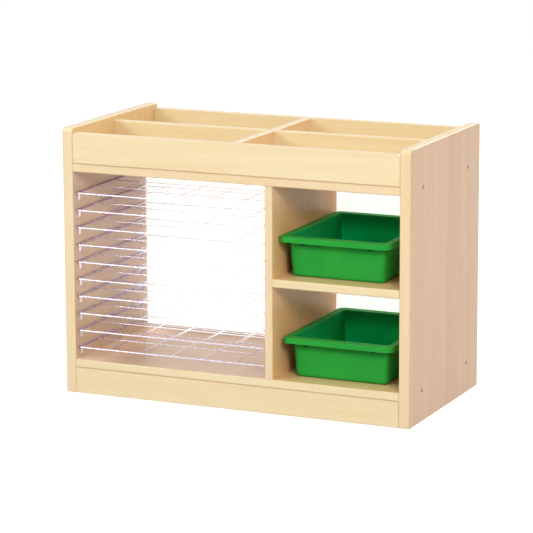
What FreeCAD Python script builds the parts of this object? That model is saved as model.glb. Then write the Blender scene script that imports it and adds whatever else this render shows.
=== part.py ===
"""Art drying rack: a wooden cabinet with ten pull-out wire shelves, two trays in
cubbies and a divided supply tray on top.

Every place is written from the cabinet's own corner: x from the left outer face,
y from the front plane, z from the floor. The document's origin is the middle of
the footprint on the floor, with the front facing -Y.
"""
import FreeCAD, Part
import math
import os
import re
import Sketcher

from FreeCAD import Placement, Rotation, Vector

# ---------------------------------------------------------------- driving sizes

SIZES = {
    # cabinet
    "side_thickness": 25.0,
    "board_thickness": 19.0,
    "front_reveal": 1.0,            # inner boards stand back this far from the side panels' edges
    "kick_height": 59.0,
    "bay_height": 433.0,            # bottom shelf to the tray's floor
    "tray_board_height": 70.0,
    "tray_drop": 11.0,              # tray boards end this far below the side panels' tops
    "paper_bay_width": 472.0,
    "paper_bay_depth": 365.0,       # front plane to the back panel
    "cubby_width": 299.0,
    "lower_cubby_height": 208.0,
    "rear_recess": 62.0,            # back panel to the side panels' rear edges
    "panel_corner_radius": 10.0,
    "tray_corner_radius": 8.0,
    "edge_radius": 3.0,             # routed edges that a hand can reach
    "wall_edge_radius": 2.0,        # the outlines of the tray's front and back walls
    "seam_radius": 2.0,             # broken edges where two boards meet
    # back panel
    "back_thickness": 5.0,
    "groove_depth": 6.0,
    "groove_play": 0.2,
    "groove_end_play": 0.5,
    "lap_play": 0.2,
    # panel bolts and their barrel nuts
    "bolt_setback": 76.0,
    "bolt_diameter": 6.0,
    "bolt_head_diameter": 12.0,
    "bolt_head_height": 5.0,
    "bolt_hole_play": 0.6,
    "bolt_sink": 0.5,
    "bolt_end_reach": 0.5,          # the bolt's end stands this far out of its nut
    "hex_socket_radius": 2.9,
    "hex_socket_depth": 3.0,
    "nut_inset": 30.0,              # board end to the nut's axis
    "nut_diameter": 10.0,
    "nut_length": 14.0,
    "nut_bore_play": 0.1,
    "nut_hole_play": 0.2,
    "nut_slot_width": 1.6,
    "nut_slot_depth": 1.5,
    # wooden dowels
    "dowel_diameter": 8.0,
    "dowel_play": 0.1,
    "dowel_length": 32.0,
    "dowel_bite": 12.0,             # length in the board whose face is drilled
    "dowel_end_play": 0.8,
    "dowel_chamfer": 1.0,
    "case_dowel_inset": 150.0,      # a row's outer dowels stand this far in from the board's ends
    "divider_dowel_inset": 62.0,
    "cubby_dowel_inset": 72.0,
    "kick_dowel_inset": 95.0,
    "tray_dowel_inset": 85.0,
    "tray_end_dowel_inset": 17.0,
    # wire shelves
    "first_shelf_rise": 26.5,       # bottom shelf to the lowest frame wire's centre line
    "last_shelf_drop": 49.5,        # tray's floor to the highest frame wire's centre line
    "wire_setback": 9.0,            # front plane to the front wire's centre line
    "wire_rear_gap": 7.7,
    "wire_side_gap": 1.8,
    "frame_wire_diameter": 3.6,
    "mesh_wire_diameter": 2.4,
    "wire_corner_radius": 6.0,
    "weld_depth": 0.3,
    # shelf clips
    "clip_front_setback": 28.0,
    "clip_rear_gap": 25.0,          # back panel to the rear clips' middle
    "clip_width": 9.0,
    "clip_plate_thickness": 1.2,
    "clip_plate_height": 16.0,
    "clip_ledge_length": 7.0,
    "clip_ledge_thickness": 1.6,
    "clip_pin_diameter": 5.0,
    "clip_pin_length": 9.0,
    "clip_pin_drop": 9.0,
    "clip_hole_play": 0.1,
    "running_gap": 0.3,             # moving pieces stand this far off their seats
    # trays in the cubbies
    "bin_side_room": 37.0,          # a cubby is this much wider than its tray
    "bin_end_room": 27.0,           # and this much deeper
    "bin_height": 91.7,
    "bin_rim_height": 12.0,
    "bin_wall": 2.5,
    "bin_top_inset_side": 16.0,
    "bin_top_inset_end": 22.0,
    "bin_foot_inset_side": 22.0,
    "bin_foot_inset_end": 27.0,
    "bin_rim_corner": 18.0,
    "bin_body_corner": 12.0,
    "bin_foot_radius": 8.0,
    "bin_floor_radius": 5.0,
    "bin_rim_radius": 2.2,
    "bin_tab_width": 8.0,
    "bin_tab_depth": 6.0,
    "bin_tab_drop": 8.0,
    "bin_tab_spread": 160.0,
    "upper_bin_side_gap": 3.0,
    "upper_bin_rear_gap": 5.0,
    "lower_bin_side_gap": 11.0,
    "lower_bin_rear_gap": 3.0,
}

TINY = 1e-4                         # lengths under this are taken as none
SHELF_COUNT = 10
CROSS_WIRE_BAYS = 6                 # bays between the front-to-back wires
LONG_WIRE_BAYS = 4                  # bays between the left-to-right wires

# Lengths and places that follow from the driving sizes.
DERIVED = {
    "shelf_top": "kick_height + board_thickness",
    "deck_level": "shelf_top + bay_height",
    "deck_top": "deck_level + board_thickness",
    "overall_height": "deck_top + tray_board_height + tray_drop",
    "divider_left": "side_thickness + paper_bay_width",
    "divider_right": "divider_left + board_thickness",
    "inner_right": "divider_right + cubby_width",
    "inner_width": "inner_right - side_thickness",
    "overall_width": "inner_right + side_thickness",
    "overall_depth": "paper_bay_depth + back_thickness + rear_recess",
    "board_depth": "overall_depth - 2 * front_reveal",
    "rear_board_front": "overall_depth - front_reveal - board_thickness",
    "divider_depth": "paper_bay_depth - front_reveal",
    "cubby_level": "shelf_top + lower_cubby_height",
    "cubby_top": "cubby_level + board_thickness",
    "tray_clear_depth": "rear_board_front - front_reveal - board_thickness",
    "tray_middle": "(overall_depth - board_thickness) / 2",
    "tray_cross": "(overall_width - board_thickness) / 2",
    "front_axis": "front_reveal + board_thickness / 2",
    "rear_axis": "rear_board_front + board_thickness / 2",
    "deck_axis": "deck_level + board_thickness / 2",
    "bottom_axis": "kick_height + board_thickness / 2",
    "groove_width": "back_thickness + groove_play",
    "dowel_hole": "dowel_diameter + dowel_play",
    "bolt_hole": "bolt_diameter + bolt_hole_play",
    "nut_reach": "nut_inset + nut_diameter / 2 + bolt_end_reach",
    "shelf_pitch": "(bay_height - first_shelf_rise - last_shelf_drop) / %d" % (SHELF_COUNT - 1),
    "frame_radius": "frame_wire_diameter / 2",
    "mesh_radius": "mesh_wire_diameter / 2",
    "wire_frame_width": "paper_bay_width - 2 * wire_side_gap - frame_wire_diameter",
    "wire_shelf_depth": "paper_bay_depth - wire_rear_gap - frame_radius - wire_setback",
    "ledge_drop": "frame_radius + running_gap",
    "long_wire_rise": "frame_radius + mesh_radius - weld_depth",
    "cross_wire_rise": "long_wire_rise - mesh_wire_diameter + weld_depth",
    "bin_width": "cubby_width - bin_side_room",
    "bin_depth": "paper_bay_depth - bin_end_room",
}

doc = FreeCAD.newDocument("ArtDryingRack")
sheet = doc.addObject("Spreadsheet::Sheet", "Sizes")
for row, (alias, number) in enumerate(SIZES.items(), 1):
    sheet.set("A%d" % row, alias)
    sheet.set("B%d" % row, str(number))
    sheet.setAlias("B%d" % row, alias)
doc.recompute()


def cells(text):
    """Turn a formula in plain names into one that reads the sheet's cells."""
    def swap(match):
        name = match.group()
        if name in DERIVED:
            return "(" + cells(DERIVED[name]) + ")"
        if name in SIZES:
            return "Sizes." + name
        raise KeyError(name)
    return re.sub(r"[a-z][a-z_]*", swap, str(text))


def bind(thing, field, formula):
    thing.setExpression(field, cells(formula))


def place(thing, x, y, z, turn=Rotation()):
    """Put a sub-part's own origin at a corner-based place, turned as given."""
    thing.Placement = Placement(Vector(), turn)
    bind(thing, "Placement.Base.x", "(%s) - overall_width / 2" % x)
    bind(thing, "Placement.Base.y", "(%s) - overall_depth / 2" % y)
    bind(thing, "Placement.Base.z", z)


# ---------------------------------------------------------------- sketch helpers

# For each sketch plane: its role in a body's origin, the two axes drawn in it, the
# axis across it, and whether the sketch's normal points along that axis.
PLANES = {
    "XY": ("XY_Plane", "x", "y", "z", True),
    "XZ": ("XZ_Plane", "x", "z", "y", False),
    "YZ": ("YZ_Plane", "y", "z", "x", True),
}
OPPOSITE = {"+": "-", "-": "+"}
# Turns that lay a piece modelled along +Z along the axis across each plane.
ALONG = {
    "XY": Rotation(),
    "XZ": Rotation(Vector(1, 0, 0), -90),
    "YZ": Rotation(Vector(0, 1, 0), 90),
}


def new_sketch(body, lie, offset="0"):
    """A sketch on one of the body's own origin planes, moved along the plane's axis."""
    role, _, _, _, along = PLANES[lie]
    sketch = body.newObject("Sketcher::SketchObject", body.Name + "_sketch")
    support = [item for item in body.Origin.OriginFeatures if item.Role == role]
    sketch.AttachmentSupport = [(support[0], "")]
    sketch.MapMode = "FlatFace"
    bind(sketch, "AttachmentOffset.Base.z", ("(%s)" if along else "-(%s)") % offset)
    return sketch


def constrain(sketch, kind, *refs_and_formula):
    """Add a driving dimension and bind it to the sheet."""
    *refs, formula = refs_and_formula
    index = sketch.addConstraint(Sketcher.Constraint(kind, *refs, 10.0))
    bind(sketch, "Constraints[%d]" % index, formula)


def locate(sketch, geometry, point, kind, distance):
    """Fix a point's DistanceX or DistanceY from the sketch's origin."""
    if distance == "0":
        axis = -2 if kind == "DistanceX" else -1
        sketch.addConstraint(Sketcher.Constraint("PointOnObject", geometry, point, axis))
    else:
        constrain(sketch, kind, -1, 1, geometry, point, distance)


def draw_rectangle(sketch, across, up, width, height):
    corners = [Vector(10, 10, 0), Vector(90, 10, 0), Vector(90, 60, 0), Vector(10, 60, 0)]
    first = sketch.GeometryCount
    for start, end in zip(corners, corners[1:] + corners[:1]):
        sketch.addGeometry(Part.LineSegment(start, end))
    for side in range(4):
        following = first + (side + 1) % 4
        sketch.addConstraint(Sketcher.Constraint("Coincident", first + side, 2, following, 1))
        direction = "Horizontal" if side % 2 == 0 else "Vertical"
        sketch.addConstraint(Sketcher.Constraint(direction, first + side))
    locate(sketch, first, 1, "DistanceX", across)
    locate(sketch, first, 1, "DistanceY", up)
    constrain(sketch, "DistanceX", first, 1, first, 2, width)
    constrain(sketch, "DistanceY", first + 1, 1, first + 1, 2, height)


def draw_rounded_rectangle(sketch, across, up, width, height, radius):
    """Four sides and four tangent corner arcs, drawn anticlockwise."""
    low, right, top, corner = 30.0, 230.0, 330.0, 20.0
    inner = low + corner
    ends = [
        (Vector(inner, low, 0), Vector(right - corner, low, 0)),
        (Vector(right, inner, 0), Vector(right, top - corner, 0)),
        (Vector(right - corner, top, 0), Vector(inner, top, 0)),
        (Vector(low, top - corner, 0), Vector(low, inner, 0)),
    ]
    centres = [
        Vector(right - corner, inner, 0),
        Vector(right - corner, top - corner, 0),
        Vector(inner, top - corner, 0),
        Vector(inner, inner, 0),
    ]
    quarter = math.pi / 2
    first = sketch.GeometryCount
    for number, (start, end) in enumerate(ends):
        sketch.addGeometry(Part.LineSegment(start, end))
        circle = Part.Circle(centres[number], Vector(0, 0, 1), corner)
        sketch.addGeometry(Part.ArcOfCircle(circle, (number - 1) * quarter, number * quarter))
    for step in range(8):
        following = first + (step + 1) % 8
        sketch.addConstraint(Sketcher.Constraint("Tangent", first + step, 2, following, 1))
    for number, direction in enumerate(("Horizontal", "Vertical", "Horizontal", "Vertical")):
        sketch.addConstraint(Sketcher.Constraint(direction, first + 2 * number))
    for arc in (3, 5, 7):
        sketch.addConstraint(Sketcher.Constraint("Equal", first + 1, first + arc))
    constrain(sketch, "Radius", first + 1, radius)
    constrain(sketch, "DistanceX", first + 6, 1, first + 2, 1, width)
    constrain(sketch, "DistanceY", first, 1, first + 4, 1, height)
    locate(sketch, first + 6, 1, "DistanceX", across)
    locate(sketch, first, 1, "DistanceY", up)


def draw_circles(sketch, centres, diameter):
    for across, up in centres:
        circle = sketch.addGeometry(Part.Circle(Vector(20, 20, 0), Vector(0, 0, 1), 3))
        locate(sketch, circle, 3, "DistanceX", across)
        locate(sketch, circle, 3, "DistanceY", up)
        constrain(sketch, "Diameter", circle, diameter)


def add_pad(body, sketch, lie, height):
    """Pad a sketch along the positive axis across its plane."""
    pad = body.newObject("PartDesign::Pad", body.Name + "_pad")
    pad.Profile = sketch
    pad.Reversed = not PLANES[lie][-1]
    bind(pad, "Length", height)
    return pad


def add_pocket(body, sketch, lie, depth, toward):
    """Cut a sketch into the body, toward "+" or "-" along the axis across its plane."""
    pocket = body.newObject("PartDesign::Pocket", body.Name + "_pocket")
    pocket.Profile = sketch
    pocket.Reversed = PLANES[lie][-1] == (toward == "+")
    bind(pocket, "Length", depth)
    return pocket


def round_edges(body, radius, keep):
    """Round those edges of the body so far whose bounding box passes the test."""
    doc.recompute()
    base = body.Tip
    names = ["Edge%d" % number for number, edge in enumerate(base.Shape.Edges, 1)
             if keep(edge.BoundBox)]
    fillet = body.newObject("PartDesign::Fillet", body.Name + "_fillet")
    fillet.Base = (base, names)
    bind(fillet, "Radius", radius)


def just_under_top(body):
    """A level just under the highest point of the body so far."""
    doc.recompute()
    return body.Tip.Shape.BoundBox.ZMax - TINY


# ---------------------------------------------------------------- boards

boards = {}


def make_board(name, lie, corner, width, height, thickness):
    """A flat board with its outline in the plane it lies in, at a corner-based place."""
    body = doc.addObject("PartDesign::Body", name)
    place(body, *corner)
    sketch = new_sketch(body, lie)
    draw_rectangle(sketch, "0", "0", width, height)
    add_pad(body, sketch, lie, thickness)
    boards[name] = (body, dict(zip("xyz", corner)))
    return body


def in_board(corner, axis, formula):
    """A corner-based place along one axis, measured from the board's own corner."""
    return formula if corner[axis] == "0" else "(%s) - (%s)" % (formula, corner[axis])


def drill(name, lie, level, centres, diameter, depth, toward):
    """Round holes cut into a board from the plane at the given level."""
    body, corner = boards[name]
    _, across, up, normal, _ = PLANES[lie]
    sketch = new_sketch(body, lie, in_board(corner, normal, level))
    local = [(in_board(corner, across, u), in_board(corner, up, v)) for u, v in centres]
    draw_circles(sketch, local, diameter)
    add_pocket(body, sketch, lie, depth, toward)


def groove(name, lie, level, place_uv, size_uv, depth, toward):
    """A rectangular groove cut into a board from the plane at the given level."""
    body, corner = boards[name]
    _, across, up, normal, _ = PLANES[lie]
    sketch = new_sketch(body, lie, in_board(corner, normal, level))
    draw_rectangle(sketch, in_board(corner, across, place_uv[0]),
                   in_board(corner, up, place_uv[1]), *size_uv)
    add_pocket(body, sketch, lie, depth, toward)


def make_side_panel(name, left_face):
    panel = make_board(name, "YZ", (left_face, "0", "0"),
                       "overall_depth", "overall_height", "side_thickness")
    top = just_under_top(panel)
    round_edges(panel, "panel_corner_radius",
                lambda box: box.ZMin > top and box.YLength < TINY)
    round_edges(panel, "edge_radius",
                lambda box: box.XLength < TINY and box.ZMax > TINY)


def make_level_board(name, level):
    """A full-width board between the side panels, such as the deck."""
    board = make_board(name, "XY", ("side_thickness", "front_reveal", level),
                       "inner_width", "board_depth", "board_thickness")
    round_edges(board, "seam_radius",
                lambda box: box.YLength < TINY and box.ZLength < TINY)


def make_upright(name, lie, corner, width, height, radius):
    """A tray or kick board standing on edge; its two top edges are rounded."""
    board = make_board(name, lie, corner, width, height, "board_thickness")
    top = just_under_top(board)
    across = "YLength" if lie == "XZ" else "XLength"
    round_edges(board, radius,
                lambda box: box.ZMin > top and getattr(box, across) < TINY)


make_side_panel("left_side_panel", "0")
make_side_panel("right_side_panel", "inner_right")
make_level_board("tray_deck", "deck_level")
make_level_board("bottom_shelf", "kick_height")

divider = make_board("centre_divider", "YZ", ("divider_left", "front_reveal", "shelf_top"),
                     "divider_depth", "bay_height", "board_thickness")
round_edges(divider, "edge_radius",
            lambda box: box.YMax < TINY and box.XLength < TINY)
cubby_shelf = make_board("cubby_shelf", "XY", ("divider_right", "front_reveal", "cubby_level"),
                         "cubby_width", "divider_depth", "board_thickness")
round_edges(cubby_shelf, "edge_radius",
            lambda box: box.YMax < TINY and box.ZLength < TINY)

for name, front in (("front_kick_board", "front_reveal"), ("rear_kick_board", "rear_board_front")):
    make_upright(name, "XZ", ("side_thickness", front, "0"),
                 "inner_width", "kick_height", "seam_radius")


def make_tray_wall(name, front):
    """A front or back wall of the tray, with rounded top corners and softened outlines."""
    wall = make_board(name, "XZ", ("side_thickness", front, "deck_top"),
                      "inner_width", "tray_board_height", "board_thickness")
    top = just_under_top(wall)
    round_edges(wall, "tray_corner_radius",
                lambda box: box.ZMin > top and box.XLength < TINY)
    round_edges(wall, "wall_edge_radius", lambda box: box.YLength < TINY)


make_tray_wall("tray_front_board", "front_reveal")
make_tray_wall("tray_back_board", "rear_board_front")
make_upright("tray_middle_board", "XZ", ("side_thickness", "tray_middle", "deck_top"),
             "inner_width", "tray_board_height", "edge_radius")
make_upright("tray_cross_board", "YZ",
             ("tray_cross", "front_reveal + board_thickness", "deck_top"),
             "tray_clear_depth", "tray_board_height", "edge_radius")

# The two inner tray boards are halved into each other where they cross.
groove("tray_middle_board", "XZ", "tray_middle",
       ("tray_cross - lap_play / 2", "deck_top + tray_board_height / 2"),
       ("board_thickness + lap_play", "tray_board_height / 2"), "board_thickness", "+")
groove("tray_cross_board", "YZ", "tray_cross",
       ("tray_middle - lap_play / 2", "deck_top"),
       ("board_thickness + lap_play", "tray_board_height / 2"), "board_thickness", "+")

# ---------------------------------------------------------------- back panel

back = doc.addObject("Part::Box", "back_panel")
bind(back, "Length", "inner_width + 2 * (groove_depth - groove_end_play)")
bind(back, "Width", "back_thickness")
bind(back, "Height", "bay_height + 2 * (groove_depth - groove_end_play)")
place(back, "side_thickness - groove_depth + groove_end_play", "paper_bay_depth",
      "shelf_top - groove_depth + groove_end_play")

for name, face, toward in (("left_side_panel", "side_thickness", "-"),
                           ("right_side_panel", "inner_right", "+")):
    groove(name, "YZ", face, ("paper_bay_depth", "shelf_top - groove_depth"),
           ("groove_width", "bay_height + 2 * groove_depth"), "groove_depth", toward)
for name, face, toward in (("tray_deck", "deck_level", "+"), ("bottom_shelf", "shelf_top", "-")):
    groove(name, "XY", face, ("side_thickness", "paper_bay_depth"),
           ("inner_width", "groove_width"), "groove_depth", toward)

# ---------------------------------------------------------------- dowels

dowel_pin = doc.addObject("Part::Cylinder", "dowel_pin")
bind(dowel_pin, "Radius", "dowel_diameter / 2")
bind(dowel_pin, "Height", "dowel_length")
doc.recompute()
dowel = doc.addObject("Part::Chamfer", "dowel")
dowel.Base = dowel_pin
rim_edges = [number for number, edge in enumerate(dowel_pin.Shape.Edges, 1)
             if edge.BoundBox.ZLength < TINY]
dowel.Edges = [(number, SIZES["dowel_chamfer"], SIZES["dowel_chamfer"]) for number in rim_edges]

groups = {}


def add_copy(group, master, x, y, z, turn=Rotation()):
    """Another separate copy of a master piece, in the group that makes one node."""
    copy = doc.addObject("Part::Compound", group + "_piece")
    copy.Links = [master]
    place(copy, x, y, z, turn)
    groups.setdefault(group, []).append(copy)


def join_with_dowels(group, lie, seam, centres, faced, edged, toward):
    """Dowels across a seam: a short bite in the faced board, the rest in the edged one.

    toward is the side of the seam, "+" or "-", that the edged board lies on.
    """
    drill(faced, lie, seam, centres, "dowel_hole", "dowel_bite + dowel_end_play",
          OPPOSITE[toward])
    drill(edged, lie, seam, centres, "dowel_hole",
          "dowel_length - dowel_bite + dowel_end_play", toward)
    _, across, up, normal, _ = PLANES[lie]
    start = "(%s) - dowel_bite" if toward == "+" else "(%s) + dowel_bite - dowel_length"
    for u, v in centres:
        spot = {across: u, up: v, normal: start % seam}
        add_copy(group, dowel, spot["x"], spot["y"], spot["z"], ALONG[lie])


def spread(start, length, inset, count):
    """Evenly spaced places along a length, the outer ones this far in from its ends."""
    return ["(%s) + %s + ((%s) - 2 * %s) * %d / %d" % (start, inset, length, inset, number, count - 1)
            for number in range(count)]


side_seams = (("left_side_panel", "side_thickness", "+"), ("right_side_panel", "inner_right", "-"))
tray_end_places = spread("deck_top", "tray_board_height", "tray_end_dowel_inset", 2)

for side, seam, toward in side_seams:
    for board, axis in (("tray_deck", "deck_axis"), ("bottom_shelf", "bottom_axis")):
        centres = [(y, axis) for y in spread("0", "overall_depth", "case_dowel_inset", 2)]
        join_with_dowels("case_dowels", "YZ", seam, centres, side, board, toward)
    for board, y in (("front_kick_board", "front_axis"), ("rear_kick_board", "rear_axis")):
        join_with_dowels("kick_board_dowels", "YZ", seam, [(y, "kick_height / 2")],
                         side, board, toward)
    for board, y in (("tray_front_board", "front_axis"), ("tray_back_board", "rear_axis"),
                     ("tray_middle_board", "overall_depth / 2")):
        centres = [(y, z) for z in tray_end_places]
        join_with_dowels("tray_dowels", "YZ", seam, centres, side, board, toward)

for seam, board, toward in (("deck_level", "tray_deck", "-"), ("shelf_top", "bottom_shelf", "+")):
    centres = [("divider_left + board_thickness / 2", y)
               for y in spread("front_reveal", "divider_depth", "divider_dowel_inset", 3)]
    join_with_dowels("divider_dowels", "XY", seam, centres, board, "centre_divider", toward)

for seam, board, toward in (("divider_right", "centre_divider", "+"),
                            ("inner_right", "right_side_panel", "-")):
    centres = [(y, "cubby_level + board_thickness / 2")
               for y in spread("front_reveal", "divider_depth", "cubby_dowel_inset", 2)]
    join_with_dowels("cubby_shelf_dowels", "YZ", seam, centres, board, "cubby_shelf", toward)

for board, y in (("front_kick_board", "front_axis"), ("rear_kick_board", "rear_axis")):
    centres = [(x, y) for x in spread("side_thickness", "inner_width", "kick_dowel_inset", 3)]
    join_with_dowels("kick_board_dowels", "XY", "kick_height", centres,
                     "bottom_shelf", board, "-")

for board, y in (("tray_front_board", "front_axis"), ("tray_back_board", "rear_axis")):
    centres = [(x, y) for x in spread("side_thickness", "inner_width", "tray_dowel_inset", 4)]
    join_with_dowels("tray_dowels", "XY", "deck_top", centres, "tray_deck", board, "+")

for seam, board, toward in (("front_reveal + board_thickness", "tray_front_board", "+"),
                            ("rear_board_front", "tray_back_board", "-")):
    centres = [("overall_width / 2", z) for z in tray_end_places]
    join_with_dowels("tray_dowels", "XZ", seam, centres, board, "tray_cross_board", toward)

# ---------------------------------------------------------------- panel bolts and barrel nuts


def make_cylinder(name, diameter, height, level="0"):
    cylinder = doc.addObject("Part::Cylinder", name)
    bind(cylinder, "Radius", "(%s) / 2" % diameter)
    bind(cylinder, "Height", height)
    bind(cylinder, "Placement.Base.z", level)
    return cylinder


bolt_head = make_cylinder("bolt_head", "bolt_head_diameter", "bolt_head_height")
bolt_shank = make_cylinder("bolt_shank", "bolt_diameter",
                           "side_thickness + nut_reach - bolt_sink")
bolt_blank = doc.addObject("Part::Fuse", "bolt_blank")
bolt_blank.Base = bolt_head
bolt_blank.Tool = bolt_shank
hex_socket = doc.addObject("Part::Prism", "hex_socket")
hex_socket.Polygon = 6
bind(hex_socket, "Circumradius", "hex_socket_radius")
bind(hex_socket, "Height", "hex_socket_depth")
bolt = doc.addObject("Part::Cut", "bolt")
bolt.Base = bolt_blank
bolt.Tool = hex_socket

nut_blank = make_cylinder("nut_blank", "nut_diameter", "nut_length")
nut_bore = make_cylinder("nut_bore", "bolt_diameter + nut_bore_play", "2 * nut_diameter")
nut_bore.Placement = Placement(Vector(), ALONG["YZ"])
bind(nut_bore, "Placement.Base.x", "-nut_diameter")
bind(nut_bore, "Placement.Base.z", "nut_length / 2")
nut_slot = doc.addObject("Part::Box", "nut_slot")
bind(nut_slot, "Length", "2 * nut_diameter")
bind(nut_slot, "Width", "nut_slot_width")
bind(nut_slot, "Height", "nut_slot_depth")
bind(nut_slot, "Placement.Base.x", "-nut_diameter")
bind(nut_slot, "Placement.Base.y", "-nut_slot_width / 2")
nut_cuts = doc.addObject("Part::MultiFuse", "nut_cuts")
nut_cuts.Shapes = [nut_bore, nut_slot]
nut = doc.addObject("Part::Cut", "nut")
nut.Base = nut_blank
nut.Tool = nut_cuts

# For each side panel: its outer and inner faces, the side of them that the bolts run to,
# and the turn that lays a bolt along that way.
bolt_sides = (
    ("left_side_panel", "0", "side_thickness", "+", Rotation(Vector(0, 1, 0), 90)),
    ("right_side_panel", "overall_width", "inner_right", "-", Rotation(Vector(0, -1, 0), 90)),
)
bolt_places = ("bolt_setback", "overall_depth - bolt_setback")
for side, outer, inner, toward, turn in bolt_sides:
    head_x = "%s %s bolt_sink" % (outer, toward)
    nut_x = "%s %s nut_inset" % (inner, toward)
    centres = [(y, z) for y in bolt_places for z in ("deck_axis", "bottom_axis")]
    drill(side, "YZ", outer, centres, "bolt_hole", "side_thickness", toward)
    drill(side, "YZ", outer, centres, "bolt_head_diameter + bolt_hole_play",
          "bolt_head_height + bolt_sink", toward)
    for board, axis in (("tray_deck", "deck_axis"), ("bottom_shelf", "bottom_axis")):
        drill(board, "YZ", inner, [(y, axis) for y in bolt_places], "bolt_hole",
              "nut_reach + dowel_end_play", toward)
        drill(board, "XY", "(%s) - board_thickness / 2" % axis,
              [(nut_x, y) for y in bolt_places], "nut_diameter + nut_hole_play",
              "(board_thickness + nut_length) / 2", "+")
        for y in bolt_places:
            add_copy("panel_bolts", bolt, head_x, y, axis, turn)
            add_copy("barrel_nuts", nut, nut_x, y, "%s - nut_length / 2" % axis)

# ---------------------------------------------------------------- shelf clips

clip_plate = doc.addObject("Part::Box", "clip_plate")
bind(clip_plate, "Length", "clip_plate_thickness")
bind(clip_plate, "Width", "clip_width")
bind(clip_plate, "Height", "clip_plate_height")
bind(clip_plate, "Placement.Base.y", "-clip_width / 2")
bind(clip_plate, "Placement.Base.z", "-clip_plate_height")
clip_ledge = doc.addObject("Part::Box", "clip_ledge")
bind(clip_ledge, "Length", "clip_ledge_length")
bind(clip_ledge, "Width", "clip_width")
bind(clip_ledge, "Height", "clip_ledge_thickness")
bind(clip_ledge, "Placement.Base.y", "-clip_width / 2")
bind(clip_ledge, "Placement.Base.z", "-clip_ledge_thickness")
clip_pin = make_cylinder("clip_pin", "clip_pin_diameter", "clip_pin_length + clip_plate_thickness",
                         "-clip_pin_drop")
clip_pin.Placement = Placement(Vector(), ALONG["YZ"])
bind(clip_pin, "Placement.Base.x", "-clip_pin_length")
clip = doc.addObject("Part::MultiFuse", "clip")
clip.Shapes = [clip_plate, clip_ledge, clip_pin]

clip_walls = (
    ("left", "left_side_panel", "side_thickness", "-", Rotation()),
    ("right", "centre_divider", "divider_left", "+", Rotation(Vector(0, 0, 1), 180)),
)
shelf_levels = ["shelf_top + first_shelf_rise + shelf_pitch * %d" % number
                for number in range(SHELF_COUNT)]
for side, wall, face, toward, turn in clip_walls:
    for end, setback in (("front", "clip_front_setback"),
                         ("rear", "paper_bay_depth - clip_rear_gap")):
        holes = [(setback, "(%s) - ledge_drop - clip_pin_drop" % level) for level in shelf_levels]
        drill(wall, "YZ", face, holes, "clip_pin_diameter + clip_hole_play",
              "clip_pin_length + clip_hole_play", toward)
        for level in shelf_levels:
            add_copy("%s_%s_clips" % (side, end), clip, face, setback,
                     "(%s) - ledge_drop" % level, turn)

# ---------------------------------------------------------------- wire shelves

grid_wires = []


def add_wire(lie, x, y, z, diameter, length):
    """A straight wire of the shelf, along the axis across the named plane."""
    wire = make_cylinder("grid_wire", diameter, length, z)
    wire.Placement = Placement(Vector(), ALONG[lie])
    bind(wire, "Placement.Base.x", x)
    bind(wire, "Placement.Base.y", y)
    grid_wires.append(wire)


for x in ("0", "wire_frame_width"):
    add_wire("XZ", x, "wire_corner_radius", "0", "frame_wire_diameter",
             "wire_shelf_depth - 2 * wire_corner_radius")
for y in ("0", "wire_shelf_depth"):
    add_wire("YZ", "wire_corner_radius", y, "0", "frame_wire_diameter",
             "wire_frame_width - 2 * wire_corner_radius")
near_x, far_x = "wire_corner_radius", "wire_frame_width - wire_corner_radius"
near_y, far_y = "wire_corner_radius", "wire_shelf_depth - wire_corner_radius"
for x, y, start in ((far_x, far_y, 0), (near_x, far_y, 90), (near_x, near_y, 180),
                    (far_x, near_y, 270)):
    bend = doc.addObject("Part::Torus", "grid_bend")
    bend.Angle3 = 90
    bind(bend, "Radius1", "wire_corner_radius")
    bind(bend, "Radius2", "frame_radius")
    bend.Placement = Placement(Vector(), Rotation(Vector(0, 0, 1), start))
    bind(bend, "Placement.Base.x", x)
    bind(bend, "Placement.Base.y", y)
    grid_wires.append(bend)
for number in range(1, CROSS_WIRE_BAYS):
    add_wire("XZ", "wire_frame_width * %d / %d" % (number, CROSS_WIRE_BAYS), "0",
             "cross_wire_rise", "mesh_wire_diameter", "wire_shelf_depth")
for number in range(1, LONG_WIRE_BAYS):
    add_wire("YZ", "-frame_radius", "wire_shelf_depth * %d / %d" % (number, LONG_WIRE_BAYS),
             "long_wire_rise", "mesh_wire_diameter", "wire_frame_width + frame_wire_diameter")
wire_grid = doc.addObject("Part::MultiFuse", "wire_grid")
wire_grid.Shapes = grid_wires

for number, level in enumerate(shelf_levels, 1):
    add_copy("wire_shelf_%02d" % number, wire_grid,
             "side_thickness + wire_side_gap + frame_radius", "wire_setback", level)

# ---------------------------------------------------------------- trays in the cubbies

bin_body = doc.addObject("PartDesign::Body", "bin_body")


def bin_outline(level, inset_side, inset_end, radius, sketch=None):
    """A rounded outline across the tray, set in from the rim's outer edge."""
    if sketch is None:
        sketch = new_sketch(bin_body, "XY", level)
    draw_rounded_rectangle(sketch, inset_side, inset_end,
                           "bin_width - 2 * (%s)" % inset_side,
                           "bin_depth - 2 * (%s)" % inset_end, radius)
    return sketch


def add_loft(kind, foot, top):
    """A loft between two outlines; it starts at the top so that its faces point outward."""
    loft = bin_body.newObject("PartDesign::" + kind, "bin_" + kind)
    loft.Profile = top
    loft.Sections = [foot]


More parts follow.
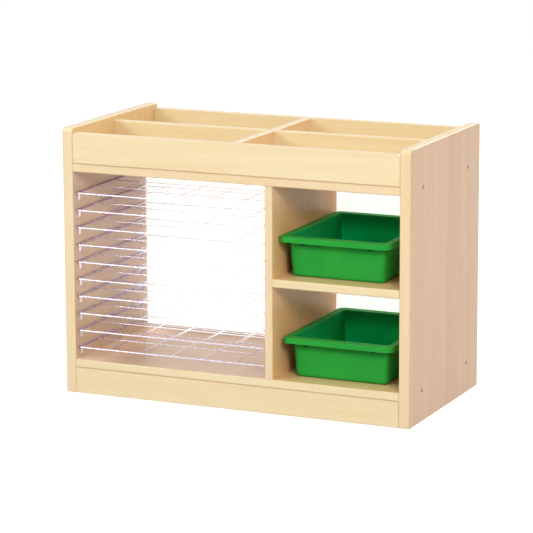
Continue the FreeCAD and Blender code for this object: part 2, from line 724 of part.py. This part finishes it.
add_loft("AdditiveLoft",
         bin_outline("0", "bin_foot_inset_side", "bin_foot_inset_end", "bin_body_corner"),
         bin_outline("bin_height", "bin_top_inset_side", "bin_top_inset_end", "bin_body_corner"))
round_edges(bin_body, "bin_foot_radius", lambda box: box.ZMax < TINY)
rim_level = "bin_height - bin_rim_height"
add_pad(bin_body, bin_outline(rim_level, "0", "0", "bin_rim_corner"), "XY", "bin_rim_height")
channel = bin_outline(rim_level, "bin_wall", "bin_wall", "bin_rim_corner - bin_wall")
bin_outline(rim_level, "bin_top_inset_side", "bin_top_inset_end", "bin_body_corner", channel)
add_pocket(bin_body, channel, "XY", "bin_rim_height - bin_wall", "+")

tabs = new_sketch(bin_body, "XY", rim_level + " - bin_tab_drop")
for sign in ("-", "+"):
    draw_rectangle(tabs, "bin_width / 2 %s bin_tab_spread / 2 - bin_tab_width / 2" % sign,
                   "bin_top_inset_end - bin_tab_depth", "bin_tab_width",
                   "bin_tab_depth + bin_wall")
add_pad(bin_body, tabs, "XY", "bin_tab_drop + bin_rim_height - bin_wall / 2")

add_loft("SubtractiveLoft",
         bin_outline("bin_wall", "bin_foot_inset_side + bin_wall", "bin_foot_inset_end + bin_wall",
                     "bin_body_corner - bin_wall"),
         bin_outline("bin_height", "bin_top_inset_side + bin_wall",
                     "bin_top_inset_end + bin_wall", "bin_body_corner - bin_wall"))
floor_level = SIZES["bin_wall"]
round_edges(bin_body, "bin_floor_radius",
            lambda box: abs(box.ZMin - floor_level) < TINY and box.ZLength < TINY)
rim_top = SIZES["bin_height"] - TINY
round_edges(bin_body, "bin_rim_radius", lambda box: box.ZMin > rim_top)

for name, side_gap, rear_gap, seat in (
        ("upper_bin", "upper_bin_side_gap", "upper_bin_rear_gap", "cubby_top"),
        ("lower_bin", "lower_bin_side_gap", "lower_bin_rear_gap", "shelf_top")):
    add_copy(name, bin_body, "divider_right + %s" % side_gap,
             "bin_end_room - %s" % rear_gap, "%s + running_gap" % seat)

# ---------------------------------------------------------------- nodes and export

nodes = [body for body, _ in boards.values()] + [back]
for name, pieces in groups.items():
    group = doc.addObject("Part::Compound", name)
    group.Links = pieces
    nodes.append(group)
for node in nodes:
    node.Label = node.Name
doc.recompute()

for thing in doc.Objects:
    if "Invalid" in thing.State or "Error" in thing.State:
        raise RuntimeError("%s did not build" % thing.Name)
for node in nodes:
    if node.Shape.isNull() or not node.Shape.isValid() or not node.Shape.Solids:
        raise RuntimeError("%s has no valid solid" % node.Label)

os.makedirs("parts", exist_ok=True)
for node in nodes:
    node.Shape.exportStep("parts/%s.step" % node.Label)
    print("%-22s %3d solids %10.1f mm3" % (node.Label, len(node.Shape.Solids), node.Shape.Volume))
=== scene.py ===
"""Looks of the art drying rack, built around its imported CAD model. Lengths are in metres."""
import math

import bpy
from mathutils import Matrix, Vector


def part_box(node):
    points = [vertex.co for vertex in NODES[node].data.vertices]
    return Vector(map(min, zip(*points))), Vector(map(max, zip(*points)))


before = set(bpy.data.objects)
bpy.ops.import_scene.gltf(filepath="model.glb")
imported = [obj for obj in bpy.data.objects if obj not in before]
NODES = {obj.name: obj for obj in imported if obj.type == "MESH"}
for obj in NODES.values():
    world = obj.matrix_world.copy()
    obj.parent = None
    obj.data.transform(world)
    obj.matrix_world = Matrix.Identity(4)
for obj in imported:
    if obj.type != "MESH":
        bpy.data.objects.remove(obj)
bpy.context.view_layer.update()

# ---------------------------------------------------------------- camera

AZIMUTH = math.radians(24.297)
ELEVATION = math.radians(11.744)
ROLL = math.radians(-0.228)
DISTANCE = 6.140
AIM = Vector((-0.0164, 0.004, 0.2826))
SENSOR = 36.0
LENS = 181.65
VIEW_END = 100.0


def add_camera():
    """The photograph's view: a long lens from the front and a little to the right."""
    back = Vector((math.sin(AZIMUTH) * math.cos(ELEVATION),
                   -math.cos(AZIMUTH) * math.cos(ELEVATION), math.sin(ELEVATION)))
    level_right = Vector((math.cos(AZIMUTH), math.sin(AZIMUTH), 0))
    level_up = back.cross(level_right)
    right = level_right * math.cos(ROLL) + level_up * math.sin(ROLL)
    up = back.cross(right)
    data = bpy.data.cameras.new("camera")
    data.sensor_width = SENSOR
    data.lens = LENS
    data.clip_end = VIEW_END
    camera = bpy.data.objects.new("camera", data)
    turn = Matrix((right, up, back)).transposed().to_4x4()
    camera.matrix_world = Matrix.Translation(AIM + back * DISTANCE) @ turn
    bpy.context.scene.collection.objects.link(camera)
    bpy.context.scene.camera = camera


# ---------------------------------------------------------------- node helpers

class Nodes:
    """Short calls that add nodes to a tree, with their inputs set or linked."""

    def __init__(self, tree):
        self.tree = tree

    def add(self, kind, inputs=(), **settings):
        """A node with its settings, and its inputs given by name or number."""
        made = self.tree.nodes.new("ShaderNode" + kind)
        for name, value in settings.items():
            setattr(made, name, value)
        self.feed(made, dict(inputs))
        return made

    def feed(self, made, inputs):
        """Link the inputs that come from other nodes, and set the others."""
        for key, value in inputs.items():
            if isinstance(value, bpy.types.NodeSocket):
                self.tree.links.new(value, made.inputs[key])
            else:
                made.inputs[key].default_value = value

    def math(self, operation, *values):
        return self.add("Math", dict(enumerate(values)), operation=operation).outputs[0]

    def ramp(self, value, low, high, start=0.0, end=1.0, kind="SMOOTHSTEP"):
        """value mapped from low..high to start..end, and held past either end."""
        return self.add("MapRange", {0: value, 1: low, 2: high, 3: start, 4: end},
                        interpolation_type=kind).outputs[0]

    def parts(self, vector):
        """A vector's x, y and z."""
        return self.add("SeparateXYZ", {0: vector}).outputs


class Shader(Nodes):
    """A new material's nodes around its Principled BSDF."""

    def __init__(self, name):
        self.material = bpy.data.materials.new(name)
        self.material.use_nodes = True
        super().__init__(self.material.node_tree)
        self.surface = self.tree.nodes["Principled BSDF"]

    def mix(self, amount, first, second):
        """A colour between two others."""
        return self.add("Mix", {0: amount, 6: first, 7: second}, data_type="RGBA").outputs[2]

    def noise(self, vector, scale, detail=2.0, roughness=0.5, distortion=0.0):
        return self.add("TexNoise", {"Vector": vector, "Scale": scale, "Detail": detail,
                                     "Roughness": roughness,
                                     "Distortion": distortion}).outputs[0]

    def bump(self, height, distance, strength):
        return self.add("Bump", {"Height": height, "Distance": distance,
                                 "Strength": strength}).outputs[0]

    def place(self, scale=(1, 1, 1), shift=(0, 0, 0)):
        """The object's own coordinates, stretched and then shifted."""
        coordinates = self.add("TexCoord").outputs["Object"]
        return self.add("Mapping", {"Vector": coordinates, "Scale": scale,
                                    "Location": shift}).outputs[0]

    def outward(self):
        """The way that the surface looks, in the object's own axes."""
        return self.add("TexCoord").outputs["Normal"]


def linear(red, green, blue):
    """A display colour of 0 to 255 as the linear colour that shaders take."""
    def one(value):
        value /= 255.0
        return value / 12.92 if value <= 0.04045 else ((value + 0.055) / 1.055) ** 2.4
    return one(red), one(green), one(blue), 1.0


def tones(light, dark):
    """A light and a dark tone from two display colours."""
    return linear(*light), linear(*dark)


def middle(node):
    """The middle of a CAD node's box."""
    low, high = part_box(node)
    return (low + high) / 2


def dress(nodes, material):
    for name in nodes:
        mesh = NODES[name].data
        mesh.materials.clear()
        mesh.materials.append(material)


# ---------------------------------------------------------------- wood

PANEL = tones((235, 199, 163), (225, 180, 140))
BOARD = tones((246, 228, 188), (238, 211, 161))
# Painted shade: a darker copy of the board tone for the boards inside the tray.
TRAY = tones((231, 217, 174), (225, 203, 154))
# Painted shade: a darker, more orange tone on the cross board's right-facing face.
CROSS = tones((240, 205, 158), (230, 190, 138))
# Painted light: a warmer, yellower copy of the panel tone for the side panels' inside faces in
# the tray, above the deck.
WALL = tones((235, 205, 151), (230, 190, 135))
# Painted light: a paler tone for the up-facing faces, where the light from above falls.
TOP = tones((234, 214, 182), (226, 198, 157))
EDGE = tones((244, 223, 184), (236, 206, 159))
# Painted light: a brighter, more orange copy of the panel tone for the divider, standing in for
# warm light bounced in the cubbies.
DIVIDER = tones((248, 204, 150), (243, 188, 131))
# Painted shade: the divider's right face grows darker and pinker toward the rear.
DIVIDER_REAR = tones((249, 188, 136), (244, 173, 118))
# Painted shade: a darker copy of the divider's tone for the cubby shelf and the cubby floors.
CUBBY = tones((238, 202, 148), (223, 183, 126))
# Painted shade: the left panel's inside face in the bay below the deck, darker still toward the
# rear.
BAY = tones((210, 183, 154), (200, 165, 133))
BAY_REAR = tones((194, 171, 149), (185, 154, 129))
# Painted shade: the bottom shelf's top in the bay; the back sheet's lowest strip takes it too.
SHELF = tones((201, 175, 147), (189, 159, 128))
# Painted light: a lighter tone at the bottom shelf's left end.
SHELF_CORNER = tones((242, 212, 184), (230, 196, 164))
# Darker wood for the pores, and for the band along each board's edges, which is partly wear and
# partly painted shade where boards meet.
DARK_WOOD = linear(186, 140, 92)
SEAM_SHADE = linear(196, 158, 108)

# Each board: its node, the axis its grain runs along, the axis across its faces, and its tones.
BOARDS = (
    ("left_side_panel", "z", "x", PANEL),
    ("right_side_panel", "z", "x", PANEL),
    ("centre_divider", "z", "x", DIVIDER),
    ("tray_deck", "x", "z", PANEL),
    ("bottom_shelf", "x", "z", PANEL),
    ("cubby_shelf", "x", "z", CUBBY),
    ("front_kick_board", "x", "y", BOARD),
    ("rear_kick_board", "x", "y", BOARD),
    ("tray_front_board", "x", "y", BOARD),
    ("tray_back_board", "x", "y", TRAY),
    ("tray_middle_board", "x", "y", TRAY),
    ("tray_cross_board", "y", "x", TRAY),
)

FAR = 1.0                           # past the object's end on any axis
SHARP = 0.002                       # a change of tone that reads as a line


def patch(sign, axis, own, along="z", low=-FAR, high=FAR, fade=SHARP):
    """Tones of its own for the faces that look one way, within a span that fades out."""
    return sign, axis, own, along, low, high, fade


# Painted light on the up-facing faces high on the rack.
TOP_FACE = patch(1, "z", TOP, low=0.58)
FRONT_EDGE = patch(-1, "y", EDGE)

# The patches of each board that has some; most of them are painted light and shade. Where two
# of them meet at the middle of another board, that board hides the change.
PATCHES = {
    "left_side_panel": (patch(1, "x", BAY, high=middle("tray_deck").z),
                        patch(1, "x", BAY_REAR, along="y", low=0.0, fade=0.16),
                        patch(1, "x", WALL, low=middle("tray_deck").z),
                        FRONT_EDGE, TOP_FACE),
    "right_side_panel": (patch(-1, "x", WALL, low=middle("tray_deck").z),
                         FRONT_EDGE, TOP_FACE),
    "centre_divider": (patch(1, "x", DIVIDER_REAR, along="y", low=-0.10, fade=0.09),
                       FRONT_EDGE),
    "tray_deck": (FRONT_EDGE,),
    "tray_front_board": (TOP_FACE,),
    "tray_back_board": (TOP_FACE,),
    "tray_middle_board": (TOP_FACE,),
    "tray_cross_board": (patch(1, "x", CROSS), TOP_FACE),
    "bottom_shelf": (patch(1, "z", SHELF, along="x", high=middle("centre_divider").x),
                     patch(1, "z", CUBBY, along="x", low=middle("centre_divider").x),
                     patch(1, "z", SHELF_CORNER, along="x", high=-0.36, fade=0.09),
                     patch(1, "z", PANEL, along="y", low=middle("back_panel").y, fade=0.001)),
}

# The level of the shaded seam along each board that has one.
DECK_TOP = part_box("tray_deck")[1].z
KICK_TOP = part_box("bottom_shelf")[0].z
SEAMS = {"tray_front_board": DECK_TOP, "tray_deck": DECK_TOP,
         "bottom_shelf": KICK_TOP, "front_kick_board": KICK_TOP}
SEAM_REACH = (0.0006, 0.0030)
SEAM_AMOUNT = 0.40

GRAIN_STRETCH = 0.06                # the patterns' scale along the grain
SEED_STEPS = (1.7, 2.3, 0.9)        # how far apart two boards' patterns are taken
FACING = (0.80, 0.98)               # how squarely a surface looks along an axis
# Scale, detail, roughness and distortion of the wood's patterns.
SWAY = (7.0, 3.0)
FIGURE = (24.0, 4.0, 0.55, 1.6)
FIBRES = (620.0, 4.0, 0.7)
PORES = (900.0, 2.0, 0.6)
PORE_CUT = (0.66, 0.76)
PORE_AMOUNT = 0.18
WEAR_AND_SHADE_PATTERN = (21.0, 3.0)
# The band near each board's edges is darker and rougher: partly wear, partly painted shade
# where boards meet.
WEAR_AND_SHADE_SHIFT = (-0.0005, 0.002)       # the pattern moves the worn band's border this far
WEAR_AND_SHADE_REACH = (0.0008, 0.0040)
WEAR_AND_SHADE_AMOUNT = 0.14
BEECH = tones((214, 172, 130), (178, 132, 92))
BEECH_RAYS = (700.0, 3.0)


def edge_distance(shader, node):
    """How far a point on a box-shaped board is from the nearest edge of the box."""
    low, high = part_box(node)
    half = (high - low) / 2
    parts = shader.parts(shader.place(shift=-middle(node)))
    depth = [shader.math("SUBTRACT", half[axis], shader.math("ABSOLUTE", parts[axis]))
             for axis in range(3)]
    lower = shader.math("MINIMUM", depth[0], depth[1])
    upper = shader.math("MAXIMUM", depth[0], depth[1])
    return shader.math("MAXIMUM", lower, shader.math("MINIMUM", upper, depth[2]))


def pick_tones(shader, node, face, face_tones):
    """The light and the dark tone of a board at a point, by the face that it lies on."""
    normal = dict(zip("xyz", shader.parts(shader.outward())))
    place = dict(zip("xyz", shader.parts(shader.place())))
    on_face = shader.ramp(shader.math("ABSOLUTE", normal[face]), *FACING)
    light, dark = (shader.mix(on_face, *pair) for pair in zip(BOARD, face_tones))
    for sign, axis, own, along, low, high, fade in PATCHES.get(node, ()):
        facing = shader.ramp(shader.math("MULTIPLY", normal[axis], sign), *FACING)
        above = shader.ramp(place[along], low - fade, low)
        below = shader.ramp(place[along], high, high + fade, 1.0, 0.0)
        mask = shader.math("MULTIPLY", facing, shader.math("MULTIPLY", above, below))
        light = shader.mix(mask, light, own[0])
        dark = shader.mix(mask, dark, own[1])
    return light, dark


def make_board_wood(node, grain, face, face_tones, seed):
    """Lacquered light wood: broad figure, fine fibres and pores that run along the grain."""
    shader = Shader(node + "_wood")
    stretch = [GRAIN_STRETCH if axis == grain else 1.0 for axis in "xyz"]
    stretched = shader.place(scale=stretch, shift=[seed * step for step in SEED_STEPS])
    sway = shader.ramp(shader.noise(stretched, *SWAY), 0.25, 0.75, 0.0, 0.5)
    figure = shader.ramp(shader.noise(stretched, *FIGURE), 0.25, 0.75, 0.0, 0.5)
    fibre = shader.noise(stretched, *FIBRES)
    pores = shader.ramp(shader.noise(stretched, *PORES), *PORE_CUT)
    tone = shader.math("ADD", shader.math("ADD", figure, sway),
                       shader.ramp(fibre, 0.2, 0.8, -0.15, 0.15))
    colour = shader.mix(tone, *pick_tones(shader, node, face, face_tones))
    colour = shader.mix(shader.math("MULTIPLY", pores, PORE_AMOUNT), colour, DARK_WOOD)
    # A darker band near the box's edges: partly wear, partly painted shade in the seams where
    # boards meet.
    drift = shader.ramp(shader.noise(shader.place(), *WEAR_AND_SHADE_PATTERN), 0.3, 0.8, *WEAR_AND_SHADE_SHIFT)
    near_edge = shader.math("ADD", edge_distance(shader, node), drift)
    wear_and_shade = shader.ramp(near_edge, *WEAR_AND_SHADE_REACH, WEAR_AND_SHADE_AMOUNT, 0.0)
    colour = shader.mix(wear_and_shade, colour, DARK_WOOD)
    if node in SEAMS:
        height = shader.parts(shader.place())[2]
        gap = shader.math("ABSOLUTE", shader.math("SUBTRACT", height, SEAMS[node]))
        colour = shader.mix(shader.ramp(gap, *SEAM_REACH, SEAM_AMOUNT, 0.0), colour,
                            SEAM_SHADE)
    rough = shader.math("ADD", shader.ramp(fibre, 0.2, 0.8, 0.30, 0.40), wear_and_shade)
    normal = shader.bump(shader.math("SUBTRACT", fibre, pores), 0.00012, 0.35)
    shader.feed(shader.surface, {"Base Color": colour, "Roughness": rough, "Normal": normal,
                                 "IOR": 1.42, "Coat Weight": 0.05, "Coat Roughness": 0.25})
    return shader.material


def make_dowel_wood():
    """Raw beech: pinkish brown with short dark rays."""
    shader = Shader("dowel_beech")
    rays = shader.ramp(shader.noise(shader.place(), *BEECH_RAYS), 0.5, 0.7)
    shader.feed(shader.surface, {"Base Color": shader.mix(rays, *BEECH), "Roughness": 0.6,
                                 "Normal": shader.bump(rays, 0.0001, 0.4)})
    return shader.material


# ---------------------------------------------------------------- metal

WIRE_PLAIN = tones((238, 230, 244), (222, 213, 232))
# Painted shade: a darker tone for the wires' sides, facing left and right.
WIRE_FLANK_SHADE = linear(148, 132, 158)
# Painted light: whiter tones toward the rear right, where the bright back washes the wires out.
WIRE_PAINTED_LIGHT = tones((255, 254, 255), (250, 248, 254))
WIRE_PAINTED_LIGHT_FLANK = linear(238, 232, 242)
# Painted light on the lowest shelf is this greyer tone without glow; above it the wires glow
# with this colour and strength.
WIRE_LOW = linear(226, 218, 232)
WIRE_PAINTED_GLOW = (0.76, 0.96, 1.0, 1.0)
WIRE_PAINTED_GLOW_STRENGTH = 0.26
WIRE_PATCHES = (160.0, 3.0)
WIRE_MARKS = (1500.0, 2.0)
# Past this reach, which is x plus a share of y, the wires get painted light: whiter, less
# metallic and glowing.
PAINTED_LIGHT_SLANT = 0.53
PAINTED_LIGHT_REACH = (-0.36, -0.30)
# The lowest shelf lies under this height, which is z plus a share of y.
LOW_SLANT = 0.208
LOW_HEIGHT = (0.108, 0.114)

BRIGHT_NICKEL = tones((255, 250, 255), (236, 226, 244))
# Painted shade: a darker copy of the nickel for the rear clips, deep in the bay.
NICKEL_PAINTED_SHADE = tones((196, 176, 172), (170, 148, 142))
CLIP_PATCHES = (300.0, 3.0)
BRONZED_ZINC = tones((212, 186, 182), (168, 142, 136))
BRIGHT_ZINC = tones((205, 205, 210), (170, 170, 176))
ZINC_SPOTS = (900.0, 4.0)
ZINC_ROUGH = (0.35, 0.50)


def slanted(shader, axis, slant):
    """A coordinate plus a share of y."""
    place = shader.parts(shader.place())
    return shader.math("ADD", place[axis], shader.math("MULTIPLY", place[1], slant))


def make_plated_wire():
    """Bright nickel plate with drawing marks and dull patches.

    To the rear right it is whiter and glows a little above the lowest shelf, where the
    photograph's bright back washes the wires out.
    """
    shader = Shader("nickel_wire")
    patches = shader.noise(shader.place(), *WIRE_PATCHES)
    marks = shader.noise(shader.place(), *WIRE_MARKS)
    # Painted light: toward the rear right the wires are whiter, less metallic and glow above
    # the lowest shelf.
    painted_light = shader.ramp(slanted(shader, 0, PAINTED_LIGHT_SLANT), *PAINTED_LIGHT_REACH)
    raised = shader.ramp(slanted(shader, 2, LOW_SLANT), *LOW_HEIGHT)
    # Painted shade: the wires' sides, facing left and right, get darker tones.
    sideways = shader.math("ABSOLUTE", shader.parts(shader.outward())[0])
    flank = shader.ramp(sideways, 0.1, 0.6)
    plain_tone = shader.mix(flank, shader.mix(patches, *WIRE_PLAIN), WIRE_FLANK_SHADE)
    painted_light_tone = shader.mix(flank, shader.mix(patches, *WIRE_PAINTED_LIGHT), WIRE_PAINTED_LIGHT_FLANK)
    painted_light_tone = shader.mix(raised, WIRE_LOW, painted_light_tone)
    glow = shader.math("MULTIPLY", shader.math("MULTIPLY", painted_light, raised),
                       WIRE_PAINTED_GLOW_STRENGTH)
    shader.feed(shader.surface, {
        "Base Color": shader.mix(painted_light, plain_tone, painted_light_tone),
        "Metallic": shader.ramp(painted_light, 0.0, 1.0, 0.75, 0.25, "LINEAR"),
        "Roughness": shader.ramp(patches, 0.3, 0.7, 0.22, 0.34),
        "Emission Color": WIRE_PAINTED_GLOW, "Emission Strength": glow,
        "Normal": shader.bump(marks, 0.00003, 0.3)})
    return shader.material


def make_clip_metal(name, plate):
    """Nickel-plated sheet metal with dull patches."""
    shader = Shader(name)
    patches = shader.noise(shader.place(), *CLIP_PATCHES)
    shader.feed(shader.surface, {
        "Base Color": shader.mix(patches, *plate), "Metallic": 0.6,
        "Roughness": shader.ramp(patches, 0.3, 0.7, 0.28, 0.40),
        "Normal": shader.bump(patches, 0.00005, 0.3)})
    return shader.material


def make_zinc(name, plate):
    """Zinc-plated steel, with worn lighter spots."""
    shader = Shader(name)
    light, dark = plate
    worn = shader.ramp(shader.noise(shader.place(), *ZINC_SPOTS), 0.45, 0.62)
    shader.feed(shader.surface, {
        "Base Color": shader.mix(worn, dark, light), "Metallic": 1.0,
        "Roughness": shader.ramp(worn, 0.0, 1.0, *ZINC_ROUGH),
        "Normal": shader.bump(worn, 0.00004, 0.4)})
    return shader.material


# ---------------------------------------------------------------- plastic

GREEN = tones((48, 171, 59), (42, 157, 60))
# Painted light and shade inside the bins: darker near the rim, lighter low down, and darker on
# the left wall.
GREEN_INSIDE_SHADE = linear(12, 158, 98)
GREEN_INSIDE_LIGHT = linear(0, 228, 150)
GREEN_LEFT_WALL_SHADE = linear(12, 156, 84)
# Painted shade on the tabs under the rim's front.
GREEN_TAB_SHADE = linear(14, 112, 56)
GREEN_SCUFF = linear(110, 190, 110)
SCUFF_AMOUNT = 0.12
SCUFF_ROUGHNESS = 0.15
GREEN_FLOW = (9.0, 3.0, 0.5, 0.6)
FLOW_STRETCH = (1, 1, 0.4)
GREEN_TEXTURE = (1900.0, 2.0)
GREEN_SCUFFS = (260.0, 3.0)
SCUFF_STRETCH = (1, 0.15, 1)
INWARD = (-0.06, -0.02)             # the surface looks toward the tray's middle
DEEP_FLOOR = 0.045                  # above the tray's underside
DEEP_RIM = 0.004                    # under the rim's top
TAB_DEPTH = (0.0215, 0.0220)        # behind the rim's front
TAB_DROP = (0.0135, 0.0125)         # under the rim's top

SHEET = tones((255, 255, 255), (251, 251, 252))
SHEET_CLOUD = (6.0, 3.0)
SHEET_GRAIN = (1400.0, 2.0)
SHEET_GLOW = (0.97, 0.97, 1.0, 1.0)
SHEET_GLOW_STRENGTH = 0.63
# Below this rise the sheet takes the shelf's painted shade tone and glows less: painted shade.
FOOT_GLOW_STRENGTH = 0.12
FOOT_RISE = (0.0070, 0.0085)        # above the bottom shelf


def make_green_plastic(node):
    """Moulded green plastic, with painted light and shade: bluer inside, lighter low down,
    darker near the rim, on the left wall and on the tabs.
    """
    shader = Shader(node + "_plastic")
    low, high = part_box(node)
    flow = shader.noise(shader.place(scale=FLOW_STRETCH), *GREEN_FLOW)
    texture = shader.noise(shader.place(), *GREEN_TEXTURE)
    scuffs = shader.ramp(shader.noise(shader.place(scale=SCUFF_STRETCH), *GREEN_SCUFFS),
                         0.66, 0.75)
    _, front, height = shader.parts(shader.place())
    inward = shader.add("VectorMath", {0: shader.place(shift=-middle(node)),
                                       1: shader.outward()},
                        operation="DOT_PRODUCT").outputs["Value"]
    # Painted light and shade inside: lighter low down, darker near the rim and on the left
    # wall.
    deep = shader.ramp(height, low.z + DEEP_FLOOR, high.z - DEEP_RIM, 1.0, 0.0)
    inner = shader.mix(deep, GREEN_INSIDE_SHADE, GREEN_INSIDE_LIGHT)
    to_right = shader.parts(shader.outward())[0]
    inner = shader.mix(shader.ramp(to_right, 0.3, 0.9), inner, GREEN_LEFT_WALL_SHADE)
    colour = shader.mix(shader.ramp(flow, 0.3, 0.7), *GREEN)
    colour = shader.mix(shader.ramp(inward, *INWARD, 1.0, 0.0), colour, inner)
    # Painted shade: the tabs under the rim's front are darker.
    near, past = (low.y + depth for depth in TAB_DEPTH)
    under, over = (high.z - drop for drop in TAB_DROP)
    tab = shader.math("MULTIPLY", shader.ramp(front, near, past, 1.0, 0.0),
                      shader.ramp(height, under, over, 1.0, 0.0))
    colour = shader.mix(tab, colour, GREEN_TAB_SHADE)
    colour = shader.mix(shader.math("MULTIPLY", scuffs, SCUFF_AMOUNT), colour, GREEN_SCUFF)
    rough = shader.math("ADD", shader.ramp(texture, 0.3, 0.7, 0.46, 0.56),
                        shader.math("MULTIPLY", scuffs, SCUFF_ROUGHNESS))
    shader.feed(shader.surface, {"Base Color": colour, "Roughness": rough, "IOR": 1.25,
                                 "Specular IOR Level": 0.25,
                                 "Normal": shader.bump(texture, 0.00004, 0.35)})
    return shader.material


def make_back_sheet():
    """A frosted white plastic sheet that lets some light through.

    Its front glows, which stands in for the photograph's overexposed back.
    """
    shader = Shader("frosted_sheet")
    shelf_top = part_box("bottom_shelf")[1].z
    foot = [shelf_top + rise for rise in FOOT_RISE]
    cloud = shader.noise(shader.place(), *SHEET_CLOUD)
    grain = shader.noise(shader.place(), *SHEET_GRAIN)
    height = shader.parts(shader.place())[2]
    # Painted shade: the lowest strip, just above the bottom shelf, takes the shelf's shaded
    # tone and glows less.
    colour = shader.mix(shader.ramp(height, *foot), SHELF[0], shader.mix(cloud, *SHEET))
    forward = shader.ramp(shader.parts(shader.outward())[1], -0.8, -0.5, 1.0, 0.0)
    glow = shader.ramp(height, *foot, FOOT_GLOW_STRENGTH, SHEET_GLOW_STRENGTH)
    shader.feed(shader.surface, {
        "Base Color": colour, "Roughness": shader.ramp(grain, 0.3, 0.7, 0.85, 0.95),
        "IOR": 1.12, "Transmission Weight": 0.15, "Emission Color": SHEET_GLOW,
        "Emission Strength": shader.math("MULTIPLY", forward, glow),
        "Normal": shader.bump(grain, 0.00003, 0.2)})
    return shader.material


def dress_all():
    for seed, (node, grain, face, face_tones) in enumerate(BOARDS, 1):
        dress([node], make_board_wood(node, grain, face, face_tones, seed))
    dress(["wire_shelf_%02d" % number for number in range(1, 11)], make_plated_wire())
    dress(["left_front_clips", "right_front_clips"],
          make_clip_metal("bright_nickel", BRIGHT_NICKEL))
    # The rear clips take the darker nickel: painted shade.
    dress(["left_rear_clips", "right_rear_clips"],
          make_clip_metal("nickel_painted_shade", NICKEL_PAINTED_SHADE))
    dress(["panel_bolts"], make_zinc("bronzed_zinc", BRONZED_ZINC))
    dress(["barrel_nuts"], make_zinc("bright_zinc", BRIGHT_ZINC))
    for node in ("upper_bin", "lower_bin"):
        dress([node], make_green_plastic(node))
    dress(["back_panel"], make_back_sheet())
    dress(["case_dowels", "kick_board_dowels", "tray_dowels", "divider_dowels",
           "cubby_shelf_dowels"], make_dowel_wood())


# ---------------------------------------------------------------- floor, light and background

FLOOR_REACH = 40.0
FLOOR_DROP = 0.0005                 # keeps the floor off the panels' lower edges
FLOOR_ALBEDO = 0.45
FLOOR_LIFT = 0.68                   # what the floor lacks to white, for the rays that show it
SKY_HORIZON = 0.20
SKY_ZENITH = 0.95
WHITE = (1, 1, 1, 1)
LAMP_AIM = Vector((0, 0, 0.35))
# Each lamp's name, place, width and power.
LAMPS = (("left_light", (-2.7, -3.1, 2.25), 1.4, 64.0),
         ("right_light", (2.7, -3.1, 2.25), 1.4, 84.0),
         ("rear_light", (0.6, 3.4, 2.3), 1.8, 52.0))


def seen_directly(nodes):
    """1 for rays that show the background: from the camera, off gloss and through glass."""
    rays = nodes.add("LightPath").outputs
    shown = rays["Is Camera Ray"]
    for ray in ("Is Glossy Ray", "Is Transmission Ray"):
        shown = nodes.math("MAXIMUM", shown, rays[ray])
    return shown


def add_floor():
    """A pale floor that reads as white to the camera and still takes the shadow."""
    mesh = bpy.data.meshes.new("floor")
    r = FLOOR_REACH
    mesh.from_pydata([(-r, -r, 0), (r, -r, 0), (r, r, 0), (-r, r, 0)], [], [(0, 1, 2, 3)])
    floor = bpy.data.objects.new("floor", mesh)
    bpy.context.scene.collection.objects.link(floor)
    floor.location.z = -FLOOR_DROP
    shader = Shader("floor")
    shader.tree.nodes.remove(shader.surface)
    matte = shader.add("BsdfDiffuse", {"Color": (FLOOR_ALBEDO,) * 3 + (1,)})
    lift = shader.math("MULTIPLY", seen_directly(shader), FLOOR_LIFT)
    glow = shader.add("Emission", {"Color": WHITE, "Strength": lift})
    both = shader.add("AddShader", {0: matte.outputs[0], 1: glow.outputs[0]})
    shader.feed(shader.tree.nodes["Material Output"], {"Surface": both.outputs[0]})
    mesh.materials.append(shader.material)


def add_sky():
    """Soft studio light, stronger from above, and a plain white background."""
    world = bpy.data.worlds.new("studio")
    world.use_nodes = True
    sky = Nodes(world.node_tree)
    height = sky.parts(sky.add("TexCoord").outputs["Generated"])[2]
    light = sky.ramp(height, 0.0, 1.0, SKY_HORIZON, SKY_ZENITH, "LINEAR")
    level = sky.ramp(seen_directly(sky), 0.0, 1.0, light, 1.0, "LINEAR")
    sky.feed(sky.tree.nodes["Background"], {"Color": WHITE, "Strength": level})
    bpy.context.scene.world = world


def add_lamp(name, place, width, power):
    data = bpy.data.lights.new(name, "AREA")
    data.shape = "DISK"
    data.size = width
    data.energy = power
    lamp = bpy.data.objects.new(name, data)
    lamp.location = place
    lamp.rotation_euler = (LAMP_AIM - Vector(place)).to_track_quat("-Z", "Y").to_euler()
    bpy.context.scene.collection.objects.link(lamp)


add_camera()
dress_all()
add_floor()
add_sky()
for lamp in LAMPS:
    add_lamp(*lamp)

bpy.context.scene.view_settings.view_transform = "Standard"
